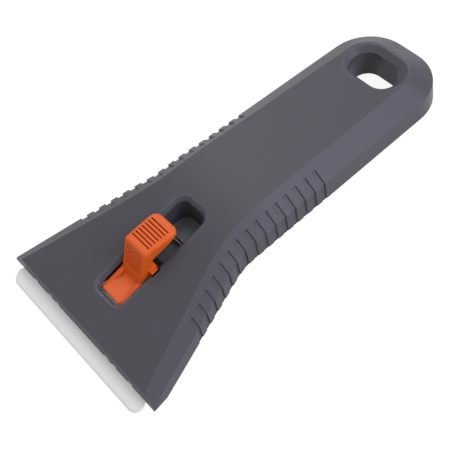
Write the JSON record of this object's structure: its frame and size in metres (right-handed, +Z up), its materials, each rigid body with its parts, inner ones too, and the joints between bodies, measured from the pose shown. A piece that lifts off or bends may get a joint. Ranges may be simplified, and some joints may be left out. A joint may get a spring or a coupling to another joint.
{
  "type": "ceramic blade scraper",
  "caption": "Hand scraper with a flared nose, a wide retractable ceramic blade, a thumb slider, ribbed grips and a hanging hole in the handle.",
  "frame": {"origin": "middle of the tool's footprint, on the surface that its heel and its handle end rest on", "axes": "+X along the tool towards the handle's end, +Y across it, +Z up"},
  "size_m": [0.1446, 0.0732, 0.0203],
  "materials": {
    "casing": "satin",
    "underside": "matte",
    "slider": "satin",
    "blade": "satin",
    "carrier": "satin",
    "steel": "satin"
  },
  "bodies": {
    "housing": {"upper_shell": "casing", "lower_shell": "underside", "screw_nose_left": "steel", "screw_nose_right": "steel", "screw_neck": "steel", "screw_handle": "steel"},
    "carriage": {"blade_carrier": "carrier", "ceramic_blade": "blade", "blade_keeper": "steel", "slider_pivot_pin": "steel", "slider_spring": "steel"},
    "slider": {"thumb_slider": "slider"}
  },
  "joints": [
    {"name": "blade_slide", "type": "slide", "parent": "housing", "child": "carriage", "axis": [0.979, 0, 0.2036], "range_m": [0, 0.0071]},
    {"name": "slider_press", "type": "hinge", "parent": "carriage", "child": "slider", "pos_m": [-0.05035, 0, 0.00717], "axis": [0, 1, 0], "range_deg": [0, 5], "stiffness_Nm_per_rad": 0.5, "springref_deg": -1.72, "deforming": ["slider_spring"]}
  ]
}
